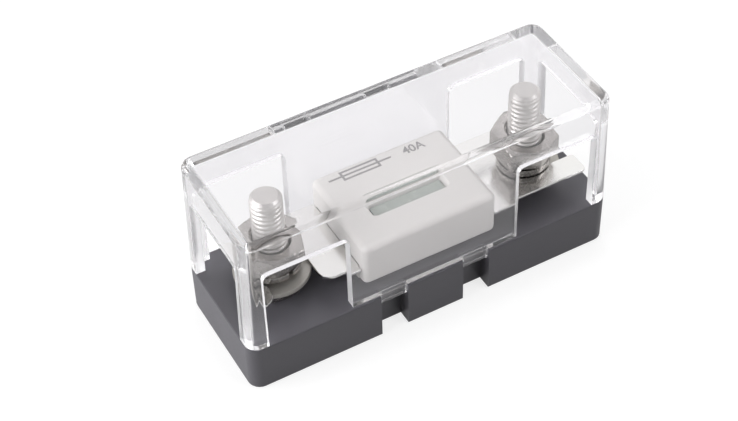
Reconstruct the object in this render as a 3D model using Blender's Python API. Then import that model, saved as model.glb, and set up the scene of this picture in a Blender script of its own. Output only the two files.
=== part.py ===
"""A bolted fuse holder: dark moulded base, two threaded posts, a blade fuse and a clear clip-on cover.

The origin lies at the middle of the base's underside. X runs along the length, the near long side faces
-Y, and Z is up. All sizes are in metres.
"""
import math

import bmesh
import bpy
from mathutils import Matrix, Vector

# Base block
BASE_LENGTH = 0.1000
BASE_DEPTH = 0.0345
BASE_HEIGHT = 0.0134
BASE_CORNER_RADIUS = 0.0032
BASE_EDGE_BEVEL = 0.0004
NOTCH_SPACING = 0.0228
NOTCH_WIDTH = 0.0074
NOTCH_DEPTH = 0.0040

# Clearances that the fits share
SEAT_GAP = 0.00025
BORE_CLEARANCE = 0.00030
SLIP_CLEARANCE = 0.00025

# Posts: hexagon-head bolts that stand up through the base
POST_INSET = 0.01485
POST_DIAMETER = 0.0079
POST_STICKOUT = 0.0125
POST_CHAMFER = 0.0010
HEAD_ACROSS_FLATS = 0.0130
HEAD_HEIGHT = 0.0053
HEAD_RECESS = 0.0008

# Nuts and washers on each post, from the base upwards
CLAMP_NUT_ACROSS_FLATS = 0.0130
CLAMP_NUT_HEIGHT = 0.0043
WASHER_DIAMETER = 0.0188
WASHER_THICKNESS = 0.0013
WASHER_EDGE = 0.00025
LOCK_WASHER_DIAMETER = 0.0144
LOCK_WASHER_THICKNESS = 0.0018
LOCK_WASHER_RISE = 0.0002
LOCK_WASHER_SPLIT = 0.0011
LEFT_SPLIT_ANGLE = -75.0
RIGHT_SPLIT_ANGLE = 118.0
NUT_ACROSS_FLATS = 0.0142
NUT_HEIGHT = 0.0065
NUT_CHAMFER = 0.0011
LEFT_NUT_ANGLE = 12.0
RIGHT_NUT_ANGLE = 32.0

# Fuse: one stamped strip that carries a moulded case, which just fits between the cover's long walls
CASE_SIDE_GAP = 0.00215
CASE_OVERHANG = 0.0012
FUSE_SHIFT = 0.0019
BLADE_END_GAP = 0.0006
BLADE_THICKNESS = 0.0008
BLADE_CORNER = 0.0012
SIDE_SLOT_PLAY = 0.0022
SIDE_SLOT_MOUTH = 0.0031
END_SLOT_PLAY = 0.00125
END_SLOT_MOUTH = 0.0010
LINK_WIDTH = 0.0036
LINK_FILLET = 0.0015
LINK_NECK = 0.0012
CASE_SHIFT = 0.0006
CASE_POST_DISTANCE = 0.01685
CASE_HEIGHT = 0.0121
CASE_DROP = 0.0040
CASE_WALL = 0.0025
CASE_ROUNDING = 0.0016
PLUG_THICKNESS = 0.0018
PANE_SHIFT = -0.0015
PANE_END_MARGIN = 0.00855
PANE_WIDTH = 0.0034
PANE_THICKNESS = 0.0010
PANE_LEDGE = 0.0009
RECESS_DEPTH = 0.0015
RECESS_FLARE = 0.0008

# Clear cover
COVER_WALL = 0.0025
COVER_HEADROOM = 0.0028
COVER_CORNER_RADIUS = 0.0032
COVER_TOP_FILLET = 0.0014
COVER_INNER_FILLET = 0.0006
COVER_END_DRAFT = 0.0009
COVER_SIDE_DRAFT = 0.0002
APRON_WIDTH = 0.0456
APRON_LIFT = 0.0009
LEG_WIDTH = 0.0051
LEG_DEPTH = 0.0054
SIDE_WINDOW_HEIGHT = 0.0234
END_WINDOW_HEIGHT = 0.0242
WINDOW_CORNER = 0.0015
TAB_DROP = 0.0025
TAB_SETBACK = 0.00045
TAB_THICKNESS = 0.0018

# How finely curves are cut
CORNER_STEPS = 6
FILLET_STEPS = 4
ROUND_STEPS = 40
OVERRUN = 0.0010

# Levels of the stack, each built on the one below
BASE_TOP = BASE_HEIGHT
CLAMP_BOTTOM = BASE_TOP + SEAT_GAP
CLAMP_TOP = CLAMP_BOTTOM + CLAMP_NUT_HEIGHT
WASHER_BOTTOM = CLAMP_TOP + SEAT_GAP
WASHER_TOP = WASHER_BOTTOM + WASHER_THICKNESS
BLADE_BOTTOM = WASHER_TOP + SEAT_GAP
BLADE_TOP = BLADE_BOTTOM + BLADE_THICKNESS
LOCK_BOTTOM = BLADE_TOP + SEAT_GAP
LOCK_TOP = LOCK_BOTTOM + LOCK_WASHER_THICKNESS + LOCK_WASHER_RISE
NUT_BOTTOM = LOCK_TOP + SEAT_GAP
NUT_TOP = NUT_BOTTOM + NUT_HEIGHT
POST_TOP = NUT_TOP + POST_STICKOUT
COVER_CEILING = POST_TOP + COVER_HEADROOM
COVER_TOP = COVER_CEILING + COVER_WALL

HALF_LENGTH = BASE_LENGTH / 2
HALF_DEPTH = BASE_DEPTH / 2
POST_X = HALF_LENGTH - POST_INSET
POST_RADIUS = POST_DIAMETER / 2
BORE_RADIUS = POST_RADIUS + BORE_CLEARANCE
FUSE_HALF_LENGTH = HALF_LENGTH - COVER_WALL - BLADE_END_GAP - FUSE_SHIFT
CASE_BOTTOM = BLADE_BOTTOM - CASE_DROP
CASE_TOP = CASE_BOTTOM + CASE_HEIGHT
CASE_LENGTH = 2 * (POST_X - CASE_POST_DISTANCE)
CASE_WIDTH = BASE_DEPTH - 2 * (COVER_WALL + CASE_SIDE_GAP)
FUSE_WIDTH = CASE_WIDTH - 2 * CASE_OVERHANG
CAVITY_HALF_WIDTH = CASE_WIDTH / 2 - CASE_WALL
CAVITY_HALF_LENGTH = CASE_LENGTH / 2 - CASE_WALL
PANE_LENGTH = CASE_LENGTH - 2 * PANE_END_MARGIN
PANE_TOP = CASE_TOP - RECESS_DEPTH
PANE_BOTTOM = PANE_TOP - PANE_THICKNESS


def clear_scene():
    for item in list(bpy.data.objects):
        bpy.data.objects.remove(item, do_unlink=True)


def material(name, colour, roughness, metallic=0.0, transmission=0.0):
    made = bpy.data.materials.new(name)
    made.use_nodes = True
    shader = made.node_tree.nodes["Principled BSDF"]
    shader.inputs["Base Color"].default_value = (*colour, 1.0)
    shader.inputs["Roughness"].default_value = roughness
    shader.inputs["Metallic"].default_value = metallic
    shader.inputs["Transmission Weight"].default_value = transmission
    made.diffuse_color = (*colour, 1.0)
    return made


def add_object(name, bm, place, parent, shade=None, smooth=True):
    bmesh.ops.recalc_face_normals(bm, faces=bm.faces)
    mesh = bpy.data.meshes.new(name)
    bm.to_mesh(mesh)
    bm.free()
    made = bpy.data.objects.new(name, mesh)
    bpy.context.collection.objects.link(made)
    made.location = place
    made.parent = parent
    if shade:
        mesh.materials.append(shade)
    if smooth:
        mesh.shade_smooth()
        mesh.set_sharp_from_angle(angle=math.radians(35.0))
    return made


def cutter(name, bm, place, parent):
    made = add_object(name, bm, place, parent, smooth=False)
    made.hide_render = True
    made.display_type = "WIRE"
    return made


def apply_shape(target, other, operation, label):
    step = target.modifiers.new(label, "BOOLEAN")
    step.operation = operation
    step.solver = "EXACT"
    step.object = other


def rounded_loop(half_x, half_y, radius, z):
    """Points of a rectangle with round corners, counter-clockwise seen from above."""
    points = []
    corners = ((1, 1, 0.0), (-1, 1, 90.0), (-1, -1, 180.0), (1, -1, 270.0))
    for side_x, side_y, start in corners:
        centre_x = side_x * (half_x - radius)
        centre_y = side_y * (half_y - radius)
        for step in range(CORNER_STEPS + 1):
            angle = math.radians(start + 90.0 * step / CORNER_STEPS)
            points.append((centre_x + radius * math.cos(angle), centre_y + radius * math.sin(angle), z))
    return points


def loft(bm, loops):
    """Skin a row of loops with equal counts and cap the first and the last."""
    rings = [[bm.verts.new(point) for point in loop] for loop in loops]
    for lower, upper in zip(rings, rings[1:]):
        count = len(lower)
        for i in range(count):
            after = (i + 1) % count
            bm.faces.new((lower[i], lower[after], upper[after], upper[i]))
    bm.faces.new(list(reversed(rings[0])))
    bm.faces.new(rings[-1])


def rounded_block(bm, size, radius, z_low, z_high, low_bevel, high_bevel, centre=(0.0, 0.0)):
    """A block with round upright corners and a quarter-round edge of its own below and above."""
    half_x, half_y = size[0] / 2, size[1] / 2
    loops = []
    for sign, z_edge, bevel in ((-1, z_low, low_bevel), (1, z_high, high_bevel)):
        steps = range(FILLET_STEPS + 1) if bevel > 0.0 else (FILLET_STEPS,)
        rows = []
        for step in steps:
            angle = math.radians(90.0 * step / FILLET_STEPS)
            inset = bevel * (1.0 - math.sin(angle))
            z = z_edge - sign * bevel * (1.0 - math.cos(angle))
            rows.append(rounded_loop(half_x - inset, half_y - inset, max(radius - inset, radius * 0.3), z))
        loops += rows if sign < 0 else rows[::-1]
    loft(bm, [[(x + centre[0], y + centre[1], z) for x, y, z in loop] for loop in loops])


def prism(bm, outline, low, high, axis="Z"):
    """Extrude a flat outline from low to high along an axis."""
    turn = {
        "Z": lambda a, b, c: (a, b, c),
        "Y": lambda a, b, c: (a, c, b),
        "X": lambda a, b, c: (c, a, b),
    }[axis]
    loft(bm, [[turn(a, b, level) for a, b in outline] for level in (low, high)])


def box(bm, low, high):
    outline = [(low[0], low[1]), (high[0], low[1]), (high[0], high[1]), (low[0], high[1])]
    prism(bm, outline, low[2], high[2])


def turned(bm, profile, steps=ROUND_STEPS, closed=False):
    """Turn a profile of (radius, z) about Z. A closed profile makes a ring, an open one gets flat ends."""
    rings = []
    for radius, z in profile:
        ring = []
        for i in range(steps):
            angle = 2.0 * math.pi * i / steps
            ring.append(bm.verts.new((radius * math.cos(angle), radius * math.sin(angle), z)))
        rings.append(ring)
    pairs = list(zip(rings, rings[1:]))
    if closed:
        pairs.append((rings[-1], rings[0]))
    for lower, upper in pairs:
        for i in range(steps):
            after = (i + 1) % steps
            bm.faces.new((lower[i], lower[after], upper[after], upper[i]))
    if not closed:
        bm.faces.new(list(reversed(rings[0])))
        bm.faces.new(rings[-1])


def hexagon(across_flats, turn=0.0, centre=(0.0, 0.0)):
    radius = across_flats / 2 / math.cos(math.radians(30.0))
    angles = [math.radians(turn + 60.0 * i) for i in range(6)]
    return [(centre[0] + radius * math.cos(a), centre[1] + radius * math.sin(a)) for a in angles]


def arc(centre, radius, start, end, steps):
    """Points on an arc, both ends included, angles in degrees."""
    points = []
    for i in range(steps + 1):
        angle = math.radians(start + (end - start) * i / steps)
        points.append((centre[0] + radius * math.cos(angle), centre[1] + radius * math.sin(angle)))
    return points


def window_outline(left, right, bottom, top, radius):
    """An opening with two round upper corners."""
    upper_right = arc((right - radius, top - radius), radius, 0.0, 90.0, CORNER_STEPS)
    upper_left = arc((left + radius, top - radius), radius, 90.0, 180.0, CORNER_STEPS)
    return [(left, bottom), (right, bottom)] + upper_right + upper_left


def build_base(parent, shade):
    bm = bmesh.new()
    rounded_block(
        bm, (BASE_LENGTH, BASE_DEPTH), BASE_CORNER_RADIUS, 0.0, BASE_TOP, BASE_EDGE_BEVEL, BASE_EDGE_BEVEL)
    base = add_object("base", bm, (0.0, 0.0, 0.0), parent, shade)

    bm = bmesh.new()
    for side_x in (-1, 1):
        for side_y in (-1, 1):
            centre = side_x * NOTCH_SPACING / 2
            inner = side_y * (HALF_DEPTH - NOTCH_DEPTH)
            outer = side_y * (HALF_DEPTH + OVERRUN)
            low = (centre - NOTCH_WIDTH / 2, min(inner, outer), -OVERRUN)
            high = (centre + NOTCH_WIDTH / 2, max(inner, outer), BASE_TOP + OVERRUN)
            box(bm, low, high)
    apply_shape(base, cutter("notch_cutters", bm, (0.0, 0.0, 0.0), parent), "DIFFERENCE", "notches")

    bm = bmesh.new()
    pocket_top = HEAD_RECESS + HEAD_HEIGHT + SEAT_GAP
    for side_x in (-1, 1):
        outline = hexagon(HEAD_ACROSS_FLATS + 2 * SLIP_CLEARANCE, centre=(side_x * POST_X, 0.0))
        prism(bm, outline, -OVERRUN, pocket_top)
    apply_shape(base, cutter("pocket_cutters", bm, (0.0, 0.0, 0.0), parent), "DIFFERENCE", "head pockets")

    bm = bmesh.new()
    for side_x in (-1, 1):
        outline = [(side_x * POST_X + x, y) for x, y in arc((0.0, 0.0), BORE_RADIUS, 0.0, 351.0, ROUND_STEPS - 1)]
        prism(bm, outline, HEAD_RECESS, BASE_TOP + OVERRUN)
    apply_shape(base, cutter("bore_cutters", bm, (0.0, 0.0, 0.0), parent), "DIFFERENCE", "post bores")
    return base


def build_post(name, side_x, parent, shade):
    """A bolt: chamfered hexagon head in the base's pocket, round shank, chamfered end."""
    place = (side_x * POST_X, 0.0, 0.0)
    bm = bmesh.new()
    shank_bottom = HEAD_RECESS + HEAD_HEIGHT / 2
    turned(bm, (
        (POST_RADIUS, shank_bottom),
        (POST_RADIUS, POST_TOP - POST_CHAMFER),
        (POST_RADIUS - POST_CHAMFER, POST_TOP),
    ))
    post = add_object(name, bm, place, parent, shade)

    bm = bmesh.new()
    prism(bm, hexagon(HEAD_ACROSS_FLATS), HEAD_RECESS, HEAD_RECESS + HEAD_HEIGHT)
    head = cutter(name + "_head", bm, place, parent)
    bm = bmesh.new()
    corner = HEAD_ACROSS_FLATS / 2 / math.cos(math.radians(30.0))
    turned(bm, (
        (HEAD_ACROSS_FLATS / 2 - NUT_CHAMFER / 4, HEAD_RECESS - SEAT_GAP / 2),
        (corner, HEAD_RECESS + NUT_CHAMFER / 2),
        (corner + OVERRUN, HEAD_RECESS + HEAD_HEIGHT + OVERRUN),
    ))
    apply_shape(head, cutter(name + "_head_chamfer", bm, place, parent), "INTERSECT", "head chamfer")
    apply_shape(post, head, "UNION", "head")
    return post


def build_nut(name, side_x, across_flats, z_low, height, turn, parent, shade):
    """A hexagon nut with both rims chamfered and a countersunk bore."""
    place = (side_x * POST_X, 0.0, z_low)
    bm = bmesh.new()
    prism(bm, hexagon(across_flats, turn), 0.0, height)
    nut = add_object(name, bm, place, parent, shade)

    corner = across_flats / 2 / math.cos(math.radians(30.0))
    rim = across_flats / 2 - NUT_CHAMFER / 4
    fall = NUT_CHAMFER / 2
    bm = bmesh.new()
    turned(bm, (
        (rim - fall, -fall / 2),
        (corner + fall / 4, fall),
        (corner + fall / 4, height - fall),
        (rim - fall, height + fall / 2),
    ))
    apply_shape(nut, cutter(name + "_chamfer", bm, place, parent), "INTERSECT", "rim chamfers")

    bm = bmesh.new()
    flare = BORE_RADIUS + 0.5 * NUT_CHAMFER
    turned(bm, (
        (flare + OVERRUN, -OVERRUN),
        (flare, 0.0),
        (BORE_RADIUS, 0.5 * NUT_CHAMFER),
        (BORE_RADIUS, height - 0.5 * NUT_CHAMFER),
        (flare, height),
        (flare + OVERRUN, height + OVERRUN),
    ))
    apply_shape(nut, cutter(name + "_bore", bm, place, parent), "DIFFERENCE", "bore")
    return nut


def build_flat_washer(name, side_x, parent, shade):
    outer = WASHER_DIAMETER / 2
    bm = bmesh.new()
    turned(bm, (
        (BORE_RADIUS, 0.0),
        (outer - WASHER_EDGE, 0.0),
        (outer, WASHER_EDGE),
        (outer, WASHER_THICKNESS - WASHER_EDGE),
        (outer - WASHER_EDGE, WASHER_THICKNESS),
        (BORE_RADIUS, WASHER_THICKNESS),
    ), steps=56, closed=True)
    return add_object(name, bm, (side_x * POST_X, 0.0, WASHER_BOTTOM), parent, shade)


def build_lock_washer(name, side_x, split_angle, parent, shade):
    """A split spring washer: a four-sided section swept round and slightly upwards between its two ends."""
    outer = LOCK_WASHER_DIAMETER / 2
    half_split = math.degrees(LOCK_WASHER_SPLIT / (outer + BORE_RADIUS))
    sweep = 360.0 - 2.0 * half_split
    steps = ROUND_STEPS
    loops = []
    for i in range(steps + 1):
        angle = math.radians(split_angle + half_split + sweep * i / steps)
        rise = LOCK_WASHER_RISE * i / steps
        section = (
            (BORE_RADIUS, rise),
            (outer, rise),
            (outer, rise + LOCK_WASHER_THICKNESS),
            (BORE_RADIUS, rise + LOCK_WASHER_THICKNESS),
        )
        loops.append([(r * math.cos(angle), r * math.sin(angle), z) for r, z in section])
    bm = bmesh.new()
    loft(bm, loops)
    return add_object(name, bm, (side_x * POST_X, 0.0, LOCK_BOTTOM), parent, shade)


def strip_outline():
    """The stamped strip seen from above: side slot on the left, end slot on the right, link between."""
    left = FUSE_SHIFT - FUSE_HALF_LENGTH
    right = FUSE_SHIFT + FUSE_HALF_LENGTH
    half = FUSE_WIDTH / 2
    case_left = CASE_SHIFT - CASE_LENGTH / 2 - SLIP_CLEARANCE
    case_right = CASE_SHIFT + CASE_LENGTH / 2 + SLIP_CLEARANCE
    neck = CAVITY_HALF_WIDTH - SLIP_CLEARANCE
    inner_left = CASE_SHIFT - CAVITY_HALF_LENGTH + CASE_WALL / 2
    inner_right = CASE_SHIFT + CAVITY_HALF_LENGTH - CASE_WALL / 2
    link_edge = LINK_WIDTH / 2
    fillet_edge = link_edge + LINK_FILLET

    slot_radius = POST_RADIUS + SIDE_SLOT_PLAY
    slot_x = -POST_X + FUSE_SHIFT
    mouth = SIDE_SLOT_MOUTH
    near_side = (
        arc((left + BLADE_CORNER, -half + BLADE_CORNER), BLADE_CORNER, 180.0, 270.0, 4)
        + arc((slot_x - slot_radius - mouth, -half + mouth), mouth, 270.0, 360.0, 6)
        + arc((slot_x, 0.0), slot_radius, 180.0, 0.0, 18)
        + arc((slot_x + slot_radius + mouth, -half + mouth), mouth, 180.0, 270.0, 6)
        + [(case_left, -half), (case_left, -neck), (inner_left, -neck)]
        + arc((inner_left + LINK_FILLET, -fillet_edge), LINK_FILLET, 180.0, 90.0, 3)
        + [(CASE_SHIFT - LINK_NECK, -link_edge), (CASE_SHIFT - LINK_NECK / 2, -LINK_NECK / 2)]
        + [(CASE_SHIFT + LINK_NECK / 2, -LINK_NECK / 2), (CASE_SHIFT + LINK_NECK, -link_edge)]
        + arc((inner_right - LINK_FILLET, -fillet_edge), LINK_FILLET, 90.0, 0.0, 3)
        + [(inner_right, -neck), (case_right, -neck), (case_right, -half)]
        + arc((right - BLADE_CORNER, -half + BLADE_CORNER), BLADE_CORNER, 270.0, 360.0, 4)
    )
    end_radius = POST_RADIUS + END_SLOT_PLAY
    mouth = END_SLOT_MOUTH
    end_slot = (
        arc((right - mouth, -end_radius - mouth), mouth, 0.0, 90.0, 4)
        + arc((POST_X, 0.0), end_radius, 270.0, 90.0, 18)
        + arc((right - mouth, end_radius + mouth), mouth, 270.0, 360.0, 4)
    )
    far_side = (
        arc((right - BLADE_CORNER, half - BLADE_CORNER), BLADE_CORNER, 0.0, 90.0, 4)
        + [(case_right, half), (case_right, neck), (inner_right, neck)]
        + arc((inner_right - LINK_FILLET, fillet_edge), LINK_FILLET, 0.0, -90.0, 3)
        + [(CASE_SHIFT + LINK_NECK, link_edge), (CASE_SHIFT + LINK_NECK / 2, LINK_NECK / 2)]
        + [(CASE_SHIFT - LINK_NECK / 2, LINK_NECK / 2), (CASE_SHIFT - LINK_NECK, link_edge)]
        + arc((inner_left + LINK_FILLET, fillet_edge), LINK_FILLET, 270.0, 180.0, 3)
        + [(inner_left, neck), (case_left, neck), (case_left, half)]
        + arc((left + BLADE_CORNER, half - BLADE_CORNER), BLADE_CORNER, 90.0, 180.0, 4)
    )
    return near_side + end_slot + far_side


def build_strip(parent, shade):
    bm = bmesh.new()
    prism(bm, strip_outline(), BLADE_BOTTOM, BLADE_TOP)
    return add_object("fuse_strip", bm, (0.0, 0.0, 0.0), parent, shade)


def build_case(parent, shade):
    """The fuse's moulded case: hollow, open below, with a slot for the strip through each end."""
    centre = (CASE_SHIFT, 0.0)
    bm = bmesh.new()
    rounded_block(
        bm, (CASE_LENGTH, CASE_WIDTH), CASE_ROUNDING, CASE_BOTTOM, CASE_TOP,
        CASE_ROUNDING * 0.7, CASE_ROUNDING, centre)
    case = add_object("fuse_case", bm, (0.0, 0.0, 0.0), parent, shade)

    bm = bmesh.new()
    cavity_top = PANE_BOTTOM - SEAT_GAP - CASE_WALL / 2
    low = (CASE_SHIFT - CAVITY_HALF_LENGTH, -CAVITY_HALF_WIDTH, CASE_BOTTOM - OVERRUN)
    high = (CASE_SHIFT + CAVITY_HALF_LENGTH, CAVITY_HALF_WIDTH, cavity_top)
    box(bm, low, high)
    apply_shape(case, cutter("case_cavity", bm, (0.0, 0.0, 0.0), parent), "DIFFERENCE", "cavity")

    bm = bmesh.new()
    slot_half = CAVITY_HALF_WIDTH - SLIP_CLEARANCE + BORE_CLEARANCE / 2
    reach = CASE_LENGTH / 2 + OVERRUN
    low = (CASE_SHIFT - reach, -slot_half, CASE_BOTTOM - OVERRUN)
    high = (CASE_SHIFT + reach, slot_half, BLADE_TOP + SLIP_CLEARANCE)
    box(bm, low, high)
    apply_shape(case, cutter("case_end_slots", bm, (0.0, 0.0, 0.0), parent), "DIFFERENCE", "end slots")

    bm = bmesh.new()
    half_x = PANE_LENGTH / 2
    half_y = PANE_WIDTH / 2
    rows = []
    for flare, z in ((0.0, PANE_TOP), (RECESS_FLARE, CASE_TOP), (RECESS_FLARE, CASE_TOP + OVERRUN)):
        grown = SLIP_CLEARANCE + flare
        loop = rounded_loop(half_x + grown, half_y + grown, 0.0006 + flare, z)
        rows.append([(x + CASE_SHIFT, y + PANE_SHIFT, level) for x, y, level in loop])
    floor = [(x, y, PANE_BOTTOM - SEAT_GAP) for x, y, z in rows[0]]
    loft(bm, [floor] + rows)
    apply_shape(case, cutter("case_recess", bm, (0.0, 0.0, 0.0), parent), "DIFFERENCE", "window recess")

    bm = bmesh.new()
    low = (CASE_SHIFT - half_x + PANE_LEDGE, PANE_SHIFT - half_y + PANE_LEDGE, cavity_top - OVERRUN)
    high = (CASE_SHIFT + half_x - PANE_LEDGE, PANE_SHIFT + half_y - PANE_LEDGE, PANE_TOP)
    box(bm, low, high)
    apply_shape(case, cutter("case_sight_hole", bm, (0.0, 0.0, 0.0), parent), "DIFFERENCE", "sight hole")
    return case


def build_plug(parent, shade):
    """The plate that closes the case from below, with a tongue under the strip at each end."""
    outer = CASE_LENGTH / 2
    inner = CAVITY_HALF_LENGTH - SLIP_CLEARANCE
    plate_half = CAVITY_HALF_WIDTH - SLIP_CLEARANCE
    tongue_half = plate_half - SLIP_CLEARANCE
    bm = bmesh.new()
    plate = [
        (-outer, -tongue_half), (-inner, -tongue_half), (-inner, -plate_half), (inner, -plate_half),
        (inner, -tongue_half), (outer, -tongue_half), (outer, tongue_half), (inner, tongue_half),
        (inner, plate_half), (-inner, plate_half), (-inner, tongue_half), (-outer, tongue_half),
    ]
    prism(bm, [(x + CASE_SHIFT, y) for x, y in plate], CASE_BOTTOM, CASE_BOTTOM + PLUG_THICKNESS)
    plug = add_object("fuse_plug", bm, (0.0, 0.0, 0.0), parent, shade)

    bm = bmesh.new()
    for side in (-1, 1):
        ends = sorted((CASE_SHIFT + side * outer, CASE_SHIFT + side * (outer - CASE_WALL + SLIP_CLEARANCE)))
        low = (ends[0], -tongue_half, CASE_BOTTOM + PLUG_THICKNESS / 2)
        high = (ends[1], tongue_half, BLADE_BOTTOM - SLIP_CLEARANCE)
        box(bm, low, high)
    apply_shape(plug, cutter("plug_tongues", bm, (0.0, 0.0, 0.0), parent), "UNION", "tongues")
    return plug


def build_pane(parent, shade):
    bm = bmesh.new()
    rounded_block(
        bm, (PANE_LENGTH, PANE_WIDTH), 0.0005, PANE_BOTTOM, PANE_TOP, 0.0, 0.0, (CASE_SHIFT, PANE_SHIFT))
    return add_object("fuse_window", bm, (0.0, 0.0, 0.0), parent, shade)


def shell_loop(z, inset):
    """One level of the cover's wall. The ends lean in towards the top."""
    climb = (z - BASE_TOP) / (COVER_TOP - BASE_TOP)
    half_x = HALF_LENGTH - COVER_END_DRAFT * climb - inset
    half_y = HALF_DEPTH - COVER_SIDE_DRAFT * climb - inset
    return rounded_loop(half_x, half_y, max(COVER_CORNER_RADIUS - inset, 0.0008), z - BASE_TOP)


def build_cover(parent, shade):
    """The clear cover: a thin shell open below, cut by windows so that four legs and two aprons stay."""
    bottom = BASE_TOP + SEAT_GAP
    loops = []
    for step in range(FILLET_STEPS + 1):
        angle = math.radians(90.0 * step / FILLET_STEPS)
        inset = COVER_WALL + COVER_INNER_FILLET * (1.0 - math.sin(angle))
        loops.append(shell_loop(COVER_CEILING - COVER_INNER_FILLET * (1.0 - math.cos(angle)), inset))
    loops.append(shell_loop(bottom, COVER_WALL))
    loops.append(shell_loop(bottom, 0.0))
    for step in range(FILLET_STEPS + 3):
        angle = math.radians(90.0 * step / (FILLET_STEPS + 2))
        inset = COVER_TOP_FILLET * (1.0 - math.cos(angle))
        loops.append(shell_loop(COVER_TOP - COVER_TOP_FILLET * (1.0 - math.sin(angle)), inset))
    bm = bmesh.new()
    loft(bm, loops)
    place = (0.0, 0.0, BASE_TOP)
    cover = add_object("cover", bm, place, parent, shade)

    apron_half = APRON_WIDTH / 2
    leg_inner = HALF_LENGTH - LEG_WIDTH
    for side, label in ((-1, "left"), (1, "right")):
        ends = sorted((side * apron_half, side * leg_inner))
        outline = window_outline(ends[0], ends[1], -OVERRUN, SIDE_WINDOW_HEIGHT, WINDOW_CORNER)
        bm = bmesh.new()
        prism(bm, outline, -HALF_DEPTH - OVERRUN, HALF_DEPTH + OVERRUN, "Y")
        apply_shape(cover, cutter("side_windows_" + label, bm, place, parent), "DIFFERENCE", "side windows " + label)

    bm = bmesh.new()
    half = HALF_DEPTH - LEG_DEPTH
    outline = window_outline(-half, half, -OVERRUN, END_WINDOW_HEIGHT, WINDOW_CORNER)
    prism(bm, outline, -HALF_LENGTH - OVERRUN, HALF_LENGTH + OVERRUN, "X")
    apply_shape(cover, cutter("end_windows", bm, place, parent), "DIFFERENCE", "end windows")

    bm = bmesh.new()
    low = (-apron_half - OVERRUN, -HALF_DEPTH - OVERRUN, -OVERRUN)
    high = (apron_half + OVERRUN, HALF_DEPTH + OVERRUN, APRON_LIFT)
    box(bm, low, high)
    apply_shape(cover, cutter("apron_trim", bm, place, parent), "DIFFERENCE", "apron trim")

    bm = bmesh.new()
    tab_half = NOTCH_WIDTH / 2 - SLIP_CLEARANCE
    for side_x in (-1, 1):
        for side_y in (-1, 1):
            centre = side_x * NOTCH_SPACING / 2
            outer = side_y * (HALF_DEPTH - TAB_SETBACK)
            inner = side_y * (HALF_DEPTH - TAB_SETBACK - TAB_THICKNESS)
            low = (centre - tab_half, min(inner, outer), -TAB_DROP)
            high = (centre + tab_half, max(inner, outer), APRON_LIFT + OVERRUN)
            box(bm, low, high)
    apply_shape(cover, cutter("tab_blocks", bm, place, parent), "UNION", "snap tabs")
    return cover


def main():
    clear_scene()
    holder = bpy.data.objects.new("fuse_holder", None)
    bpy.context.collection.objects.link(holder)

    moulding = material("base_plastic", (0.085, 0.083, 0.088), 0.42)
    plating = material("plated_steel", (0.66, 0.65, 0.62), 0.24, metallic=1.0)
    tinned = material("tinned_strip", (0.80, 0.79, 0.76), 0.20, metallic=1.0)
    case_shade = material("case_plastic", (0.80, 0.79, 0.76), 0.45)
    pane_shade = material("pane_plastic", (0.42, 0.46, 0.42), 0.30)
    clear = material("clear_plastic", (0.95, 0.95, 0.96), 0.04, transmission=1.0)

    build_base(holder, moulding)
    for label, side_x in (("left", -1), ("right", 1)):
        split = LEFT_SPLIT_ANGLE if side_x < 0 else RIGHT_SPLIT_ANGLE
        nut_turn = LEFT_NUT_ANGLE if side_x < 0 else RIGHT_NUT_ANGLE
        build_post("post_" + label, side_x, holder, plating)
        build_nut(
            "clamp_nut_" + label, side_x, CLAMP_NUT_ACROSS_FLATS, CLAMP_BOTTOM, CLAMP_NUT_HEIGHT, 0.0,
            holder, plating)
        build_flat_washer("flat_washer_" + label, side_x, holder, plating)
        build_lock_washer("lock_washer_" + label, side_x, split, holder, plating)
        build_nut("nut_" + label, side_x, NUT_ACROSS_FLATS, NUT_BOTTOM, NUT_HEIGHT, nut_turn, holder, plating)
    build_strip(holder, tinned)
    build_case(holder, case_shade)
    build_plug(holder, case_shade)
    build_pane(holder, pane_shade)
    build_cover(holder, clear)


main()
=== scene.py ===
"""Looks for a bolted fuse holder.

It has a dark moulded base, two threaded posts with their nuts and washers, a strip fuse in a white case, and
a clear cover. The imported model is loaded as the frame, and each operator below makes or finishes one group of
pieces on it. All sizes are in metres. X runs along the length, the near long side faces -Y, and Z is up.
"""

import math

import bmesh
import bpy
from bpy.props import FloatProperty, FloatVectorProperty, IntProperty, PointerProperty
from mathutils import Matrix, Vector


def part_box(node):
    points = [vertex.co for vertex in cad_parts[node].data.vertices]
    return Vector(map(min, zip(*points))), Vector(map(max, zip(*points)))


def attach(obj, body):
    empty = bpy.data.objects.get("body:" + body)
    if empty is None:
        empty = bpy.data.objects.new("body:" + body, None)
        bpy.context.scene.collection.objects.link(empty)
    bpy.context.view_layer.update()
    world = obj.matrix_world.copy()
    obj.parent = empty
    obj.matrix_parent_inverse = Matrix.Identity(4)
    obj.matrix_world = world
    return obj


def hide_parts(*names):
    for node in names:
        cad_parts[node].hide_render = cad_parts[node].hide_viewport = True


bl_info = {
    "name": "Bolted fuse holder",
    "version": (1, 0, 0),
    "blender": (4, 5, 0),
    "location": "3D View > Sidebar > Fuse holder",
    "description": "Makes the visible pieces and finishes of a bolted fuse holder",
    "category": "Object",
}

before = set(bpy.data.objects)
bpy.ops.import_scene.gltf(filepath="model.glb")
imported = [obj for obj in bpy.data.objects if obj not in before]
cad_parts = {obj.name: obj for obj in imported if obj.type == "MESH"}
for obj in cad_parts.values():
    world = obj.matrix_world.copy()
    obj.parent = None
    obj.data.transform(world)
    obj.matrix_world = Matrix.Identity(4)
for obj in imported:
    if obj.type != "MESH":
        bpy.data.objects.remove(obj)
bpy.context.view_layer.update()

BASE_LOW, BASE_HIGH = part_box("base")
COVER_LOW, COVER_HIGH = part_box("cover")
CASE_LOW, CASE_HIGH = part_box("fuse_case")
SIDES = ("left", "right")

# Meshes: points within the weld gap become one, and faces that meet within the flat angle are joined

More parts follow.
